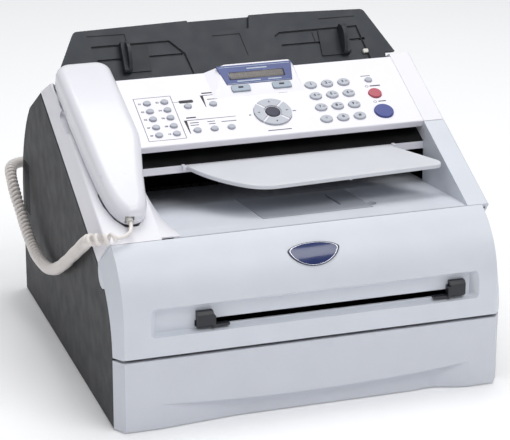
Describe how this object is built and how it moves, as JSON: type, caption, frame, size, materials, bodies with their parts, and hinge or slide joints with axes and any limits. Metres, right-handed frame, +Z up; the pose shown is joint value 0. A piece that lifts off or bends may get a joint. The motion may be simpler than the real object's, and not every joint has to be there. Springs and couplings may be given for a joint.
{
  "type": "fax machine",
  "caption": "Desktop laser fax machine with corded handset in a side cradle, sloping keypad panel, document tray, paper output deck, front cover and pull-out paper tray.",
  "frame": {"origin": "on the table, under the centre of the casing (the cord is left out)", "axes": "+X to the right seen from the front, +Y to the back (the front faces -Y), +Z up"},
  "size_m": [0.3945, 0.4149, 0.2982],
  "materials": {
    "dark_casing": "fine matte texture",
    "light_casing": "satin",
    "cover_grey": "satin",
    "tray_grey": "satin",
    "guide_grey": "matte",
    "display_blue": "gloss",
    "key_grey": "satin",
    "key_dark_blue": "satin",
    "key_blue": "satin",
    "key_red": "satin",
    "cord_grey": "satin",
    "clear_plug": "gloss",
    "sheet_steel": "satin",
    "inner_black": "matte",
    "board_green": "satin",
    "rubber": "matte",
    "heat_roller_metal": "satin"
  },
  "bodies": {
    "casing": {"base_frame": "sheet_steel", "left_side_cover": "dark_casing", "right_side_cover": "dark_casing", "rear_housing": "dark_casing", "top_cover": "cover_grey", "scanner_housing": "light_casing", "handset_cradle": "light_casing", "laser_unit": "inner_black", "drum_unit": "inner_black", "toner_cartridge": "inner_black", "main_board": "board_green", "power_supply": "sheet_steel", "main_motor": "sheet_steel", "image_sensor": "inner_black", "rubber_feet": "rubber", "case_screws": "sheet_steel", "document_tray": "dark_casing", "curly_cord": "cord_grey", "cord_plug_base": "clear_plug"},
    "front_cover": {"front_cover": "cover_grey"},
    "rear_cover": {"rear_cover": "dark_casing"},
    "paper_tray": {"paper_tray": "tray_grey"},
    "tray_lift_plate": {"tray_lift_plate": "sheet_steel"},
    "tray_guide_left": {"tray_guide_left": "guide_grey"},
    "tray_guide_right": {"tray_guide_right": "guide_grey"},
    "manual_guide_left": {"manual_guide_left": "guide_grey"},
    "manual_guide_right": {"manual_guide_right": "guide_grey"},
    "output_flap": {"output_flap": "cover_grey"},
    "document_output_support": {"document_output_support": "light_casing"},
    "document_guide_left": {"document_guide_left": "guide_grey"},
    "document_guide_right": {"document_guide_right": "guide_grey"},
    "hook_switch": {"hook_switch": "inner_black"},
    "heat_roller": {"heat_roller": "heat_roller_metal"},
    "pressure_roller": {"pressure_roller": "rubber"},
    "pickup_roller": {"pickup_roller": "rubber"},
    "document_feed_roller": {"document_feed_roller": "rubber"},
    "power_switch": {"power_switch": "dark_casing"},
    "start_key": {"start_key": "key_blue"},
    "stop_key": {"stop_key": "key_red"},
    "set_key": {"set_key": "key_dark_blue"},
    "navigation_ring": {"navigation_ring": "key_grey"},
    "small_keys": {"small_keys": "key_grey"},
    "dial_key_1": {"dial_key_1": "key_grey"},
    "dial_key_2": {"dial_key_2": "key_grey"},
    "dial_key_3": {"dial_key_3": "key_grey"},
    "dial_key_4": {"dial_key_4": "key_grey"},
    "dial_key_5": {"dial_key_5": "key_grey"},
    "dial_key_6": {"dial_key_6": "key_grey"},
    "dial_key_7": {"dial_key_7": "key_grey"},
    "dial_key_8": {"dial_key_8": "key_grey"},
    "dial_key_9": {"dial_key_9": "key_grey"},
    "dial_key_star": {"dial_key_star": "key_grey"},
    "dial_key_0": {"dial_key_0": "key_grey"},
    "dial_key_hash": {"dial_key_hash": "key_grey"},
    "control_panel": {"control_panel": "light_casing", "display_window": "display_blue", "panel_board": "board_green"},
    "handset": {"handset_outer_shell": "light_casing", "handset_inner_shell": "light_casing", "cord_plug_handset": "clear_plug"}
  },
  "joints": [
    {"name": "front_cover_hinge", "type": "hinge", "parent": "casing", "child": "front_cover", "pos_m": [0, -0.1815, 0.0745], "axis": [1, 0, 0], "range_deg": [0, 90]},
    {"name": "rear_cover_hinge", "type": "hinge", "parent": "casing", "child": "rear_cover", "pos_m": [0, 0.183, 0.0482], "axis": [-1, 0, 0], "range_deg": [0, 75]},
    {"name": "paper_tray_slide", "type": "slide", "parent": "casing", "child": "paper_tray", "axis": [0, -1, 0], "range_m": [0, 0.28]},
    {"name": "output_support_hinge", "type": "hinge", "parent": "casing", "child": "document_output_support", "pos_m": [0, -0.037, 0.194], "axis": [-1, 0, 0], "range_deg": [0, 85]},
    {"name": "control_panel_hinge", "type": "hinge", "parent": "casing", "child": "control_panel", "pos_m": [0, 0.057, 0.2485], "axis": [-1, 0, 0], "range_deg": [0, 40]},
    {"name": "handset_lift", "type": "slide", "parent": "casing", "child": "handset", "axis": [0, -0.4043, 0.9146], "range_m": [0, 0.08]},
    {"name": "tray_guide_left_slide", "type": "slide", "parent": "paper_tray", "child": "tray_guide_left", "axis": [1, 0, 0], "range_m": [0, 0.04]},
    {"name": "tray_guide_right_slide", "type": "slide", "parent": "paper_tray", "child": "tray_guide_right", "axis": [-1, 0, 0], "range_m": [0, 0.04]},
    {"name": "manual_guide_left_slide", "type": "slide", "parent": "front_cover", "child": "manual_guide_left", "axis": [1, 0, 0], "range_m": [0, 0.073]},
    {"name": "manual_guide_right_slide", "type": "slide", "parent": "front_cover", "child": "manual_guide_right", "axis": [-1, 0, 0], "range_m": [0, 0.073]},
    {"name": "document_guide_left_slide", "type": "slide", "parent": "casing", "child": "document_guide_left", "axis": [1, 0, 0], "range_m": [0, 0.022]},
    {"name": "document_guide_right_slide", "type": "slide", "parent": "casing", "child": "document_guide_right", "axis": [-1, 0, 0], "range_m": [0, 0.035]},
    {"name": "output_flap_hinge", "type": "hinge", "parent": "casing", "child": "output_flap", "pos_m": [0, -0.029, 0.1524], "axis": [-1, 0, 0], "range_deg": [0, 14]},
    {"name": "tray_lift_hinge", "type": "hinge", "parent": "paper_tray", "child": "tray_lift_plate", "pos_m": [0, 0.035, 0.0132], "axis": [-1, 0, 0], "range_deg": [0, 12]},
    {"name": "hook_switch_slide", "type": "slide", "parent": "casing", "child": "hook_switch", "axis": [0, 0.4043, -0.9146], "range_m": [0, 0.003], "stiffness_N_per_m": 150},
    {"name": "heat_roller_spin", "type": "hinge", "parent": "casing", "child": "heat_roller", "pos_m": [0, 0.095, 0.1164], "axis": [1, 0, 0], "continuous": true},
    {"name": "pressure_roller_spin", "type": "hinge", "parent": "casing", "child": "pressure_roller", "pos_m": [0, 0.095, 0.0916], "axis": [1, 0, 0], "continuous": true},
    {"name": "pickup_roller_spin", "type": "hinge", "parent": "casing", "child": "pickup_roller", "pos_m": [0, -0.11, 0.081], "axis": [1, 0, 0], "continuous": true},
    {"name": "document_feed_roller_spin", "type": "hinge", "parent": "casing", "child": "document_feed_roller", "pos_m": [0, 0.04479, 0.22266], "axis": [1, 0, 0], "continuous": true},
    {"name": "power_switch_rock", "type": "hinge", "parent": "casing", "child": "power_switch", "pos_m": [0.1746, 0.12, 0.04], "axis": [0, 0, 1], "range_deg": [0, 16]},
    {"name": "start_key_press", "type": "slide", "parent": "control_panel", "child": "start_key", "axis": [0, 0.4043, -0.9146], "range_m": [0, 0.0012], "stiffness_N_per_m": 300},
    {"name": "stop_key_press", "type": "slide", "parent": "control_panel", "child": "stop_key", "axis": [0, 0.4043, -0.9146], "range_m": [0, 0.0012], "stiffness_N_per_m": 300},
    {"name": "set_key_press", "type": "slide", "parent": "control_panel", "child": "set_key", "axis": [0, 0.4043, -0.9146], "range_m": [0, 0.0012], "stiffness_N_per_m": 300},
    {"name": "navigation_ring_press", "type": "slide", "parent": "control_panel", "child": "navigation_ring", "axis": [0, 0.4043, -0.9146], "range_m": [0, 0.0012], "stiffness_N_per_m": 300},
    {"name": "small_keys_press", "type": "slide", "parent": "control_panel", "child": "small_keys", "axis": [0, 0.4043, -0.9146], "range_m": [0, 0.0012], "stiffness_N_per_m": 300},
    {"name": "dial_key_1_press", "type": "slide", "parent": "control_panel", "child": "dial_key_1", "axis": [0, 0.4043, -0.9146], "range_m": [0, 0.0012], "stiffness_N_per_m": 300},
    {"name": "dial_key_2_press", "type": "slide", "parent": "control_panel", "child": "dial_key_2", "axis": [0, 0.4043, -0.9146], "range_m": [0, 0.0012], "stiffness_N_per_m": 300},
    {"name": "dial_key_3_press", "type": "slide", "parent": "control_panel", "child": "dial_key_3", "axis": [0, 0.4043, -0.9146], "range_m": [0, 0.0012], "stiffness_N_per_m": 300},
    {"name": "dial_key_4_press", "type": "slide", "parent": "control_panel", "child": "dial_key_4", "axis": [0, 0.4043, -0.9146], "range_m": [0, 0.0012], "stiffness_N_per_m": 300},
    {"name": "dial_key_5_press", "type": "slide", "parent": "control_panel", "child": "dial_key_5", "axis": [0, 0.4043, -0.9146], "range_m": [0, 0.0012], "stiffness_N_per_m": 300},
    {"name": "dial_key_6_press", "type": "slide", "parent": "control_panel", "child": "dial_key_6", "axis": [0, 0.4043, -0.9146], "range_m": [0, 0.0012], "stiffness_N_per_m": 300},
    {"name": "dial_key_7_press", "type": "slide", "parent": "control_panel", "child": "dial_key_7", "axis": [0, 0.4043, -0.9146], "range_m": [0, 0.0012], "stiffness_N_per_m": 300},
    {"name": "dial_key_8_press", "type": "slide", "parent": "control_panel", "child": "dial_key_8", "axis": [0, 0.4043, -0.9146], "range_m": [0, 0.0012], "stiffness_N_per_m": 300},
    {"name": "dial_key_9_press", "type": "slide", "parent": "control_panel", "child": "dial_key_9", "axis": [0, 0.4043, -0.9146], "range_m": [0, 0.0012], "stiffness_N_per_m": 300},
    {"name": "dial_key_star_press", "type": "slide", "parent": "control_panel", "child": "dial_key_star", "axis": [0, 0.4043, -0.9146], "range_m": [0, 0.0012], "stiffness_N_per_m": 300},
    {"name": "dial_key_0_press", "type": "slide", "parent": "control_panel", "child": "dial_key_0", "axis": [0, 0.4043, -0.9146], "range_m": [0, 0.0012], "stiffness_N_per_m": 300},
    {"name": "dial_key_hash_press", "type": "slide", "parent": "control_panel", "child": "dial_key_hash", "axis": [0, 0.4043, -0.9146], "range_m": [0, 0.0012], "stiffness_N_per_m": 300}
  ],
  "couplings": [
    {"joint": "pressure_roller_spin", "follows": "heat_roller_spin", "ratio": -1},
    {"joint": "tray_guide_right_slide", "follows": "tray_guide_left_slide", "ratio": 1},
    {"joint": "manual_guide_right_slide", "follows": "manual_guide_left_slide", "ratio": 1},
    {"joint": "document_guide_right_slide", "follows": "document_guide_left_slide", "ratio": 1}
  ]
}
